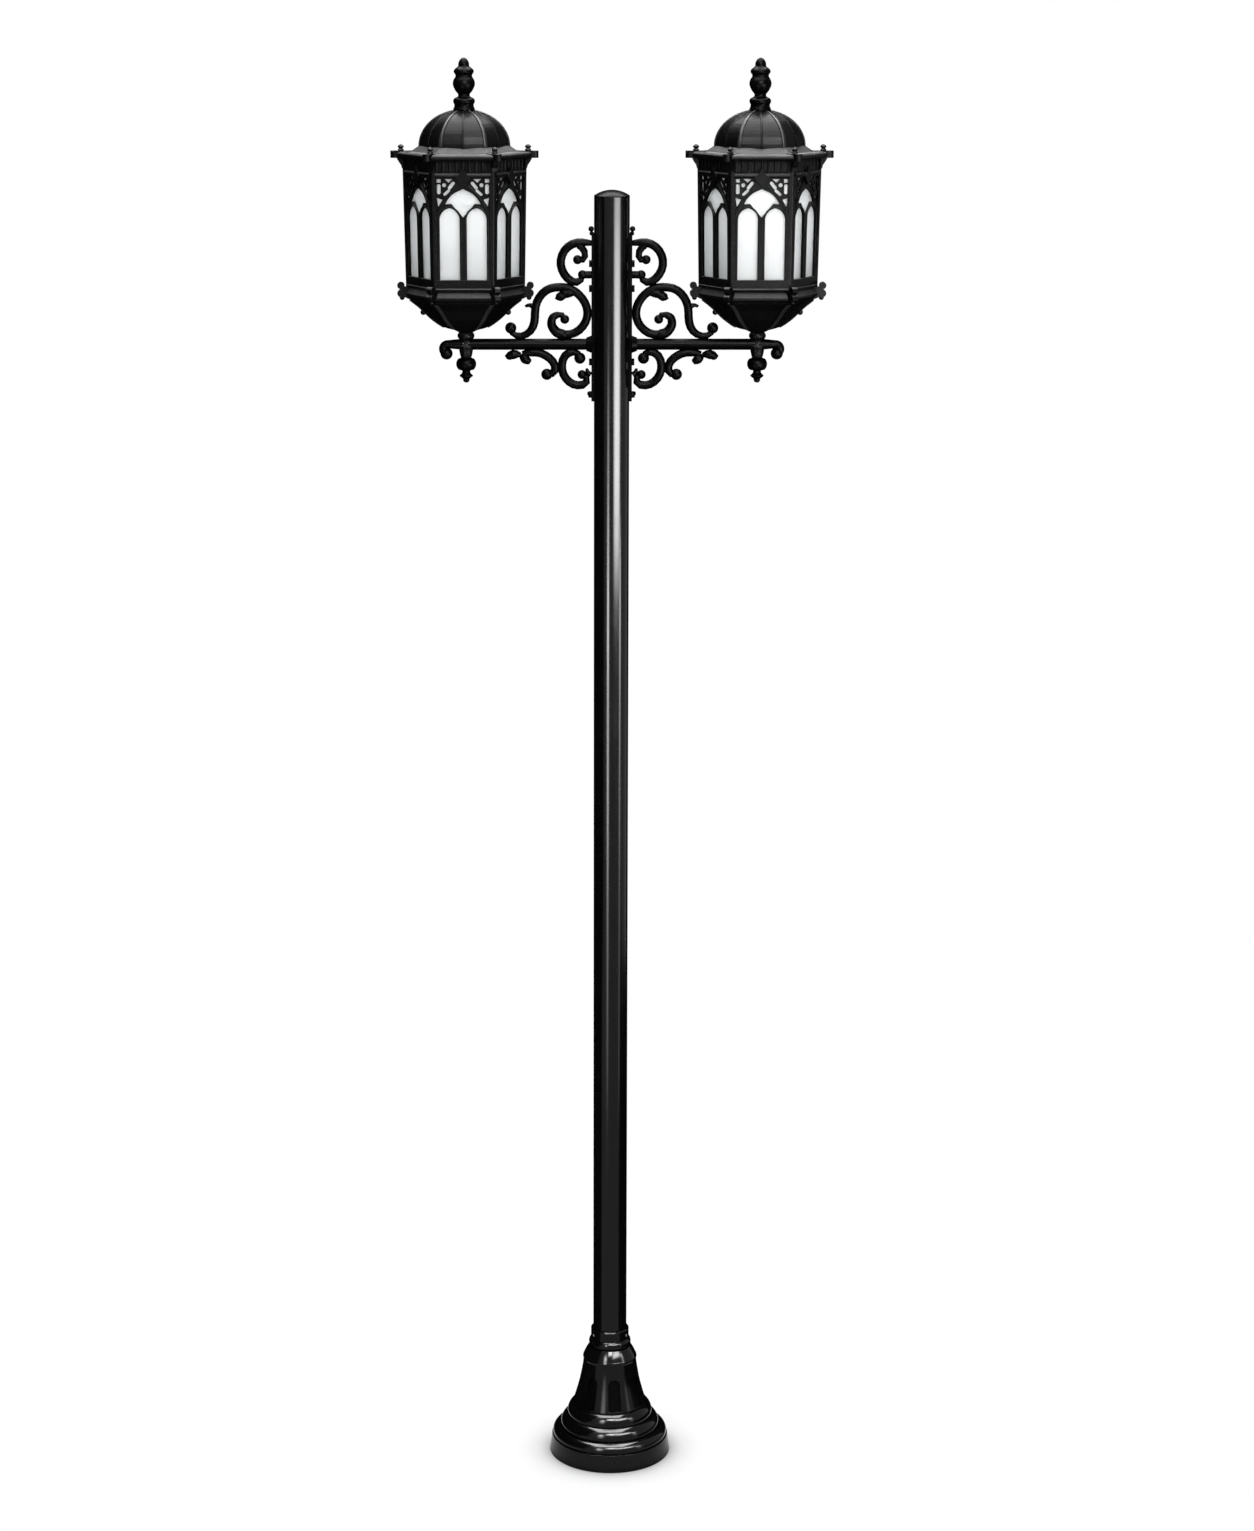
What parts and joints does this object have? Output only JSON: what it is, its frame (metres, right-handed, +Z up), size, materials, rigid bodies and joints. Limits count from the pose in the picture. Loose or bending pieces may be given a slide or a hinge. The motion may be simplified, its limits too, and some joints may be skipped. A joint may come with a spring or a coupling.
{
  "type": "garden lamp post",
  "caption": "Tall black garden lamp post: a round pole on a fluted bell base carries hexagonal Gothic lanterns with frosted panes on scrollwork side arms.",
  "frame": {"origin": "middle of the foot plate on the ground", "axes": "+Z up along the pole, the lanterns along -X (left) and +X (right), -Y is the front"},
  "size_m": [0.9404, 0.2774, 3.17],
  "materials": {
    "pole_paint": "gloss",
    "base_paint": "gloss",
    "bracket_paint": "satin",
    "lantern_casting": "satin",
    "zinc_steel": "satin",
    "brass": "satin",
    "frosted_glass": "satin",
    "bulb_glass": "gloss",
    "holder_plastic": "matte"
  },
  "bodies": {
    "post": {"pole_tube": "pole_paint", "pole_cap": "pole_paint", "base_flange": "zinc_steel", "earth_screw": "brass", "left_back_bar": "bracket_paint", "left_bracket_bolts": "bracket_paint", "left_arm_tube": "bracket_paint", "left_arm_scroll": "bracket_paint", "left_upper_scroll": "bracket_paint", "left_main_scroll": "bracket_paint", "left_lower_inner_scroll": "bracket_paint", "left_lower_outer_scroll": "bracket_paint", "left_leaf_ornaments": "bracket_paint", "left_arm_fitting": "lantern_casting", "left_drop_finial": "lantern_casting", "left_bowl": "lantern_casting", "left_ledge": "lantern_casting", "left_corner_posts": "lantern_casting", "left_window_panels": "lantern_casting", "left_stem_nipple": "zinc_steel", "left_stem_nut": "zinc_steel", "left_bowl_knobs": "lantern_casting", "left_glass_panes": "frosted_glass", "left_glass_clips": "zinc_steel", "left_lamp_holder": "holder_plastic", "right_back_bar": "bracket_paint", "right_bracket_bolts": "bracket_paint", "right_arm_tube": "bracket_paint", "right_arm_scroll": "bracket_paint", "right_upper_scroll": "bracket_paint", "right_main_scroll": "bracket_paint", "right_lower_inner_scroll": "bracket_paint", "right_lower_outer_scroll": "bracket_paint", "right_leaf_ornaments": "bracket_paint", "right_arm_fitting": "lantern_casting", "right_drop_finial": "lantern_casting", "right_bowl": "lantern_casting", "right_ledge": "lantern_casting", "right_corner_posts": "lantern_casting", "right_window_panels": "lantern_casting", "right_stem_nipple": "zinc_steel", "right_stem_nut": "zinc_steel", "right_bowl_knobs": "lantern_casting", "right_glass_panes": "frosted_glass", "right_glass_clips": "zinc_steel", "right_lamp_holder": "holder_plastic"},
    "base_cover": {"base_cover": "base_paint", "cover_grub_screws": "zinc_steel"},
    "left_roof": {"left_roof_eave": "lantern_casting", "left_roof_dome": "lantern_casting", "left_roof_finial": "lantern_casting", "left_finial_nut": "zinc_steel", "left_roof_knobs": "lantern_casting"},
    "left_bulb": {"left_bulb": "bulb_glass"},
    "right_roof": {"right_roof_eave": "lantern_casting", "right_roof_dome": "lantern_casting", "right_roof_finial": "lantern_casting", "right_finial_nut": "zinc_steel", "right_roof_knobs": "lantern_casting"},
    "right_bulb": {"right_bulb": "bulb_glass"}
  },
  "joints": [
    {"name": "base_cover_lift", "type": "slide", "parent": "post", "child": "base_cover", "axis": [0, 0, 1], "range_m": [0, 0.25]},
    {"name": "left_roof_lift", "type": "slide", "parent": "post", "child": "left_roof", "axis": [0, 0, 1], "range_m": [0, 0.12]},
    {"name": "left_bulb_unscrew", "type": "slide", "parent": "post", "child": "left_bulb", "axis": [0, 0, 1], "range_m": [0, 0.03]},
    {"name": "right_roof_lift", "type": "slide", "parent": "post", "child": "right_roof", "axis": [0, 0, 1], "range_m": [0, 0.12]},
    {"name": "right_bulb_unscrew", "type": "slide", "parent": "post", "child": "right_bulb", "axis": [0, 0, 1], "range_m": [0, 0.03]}
  ]
}
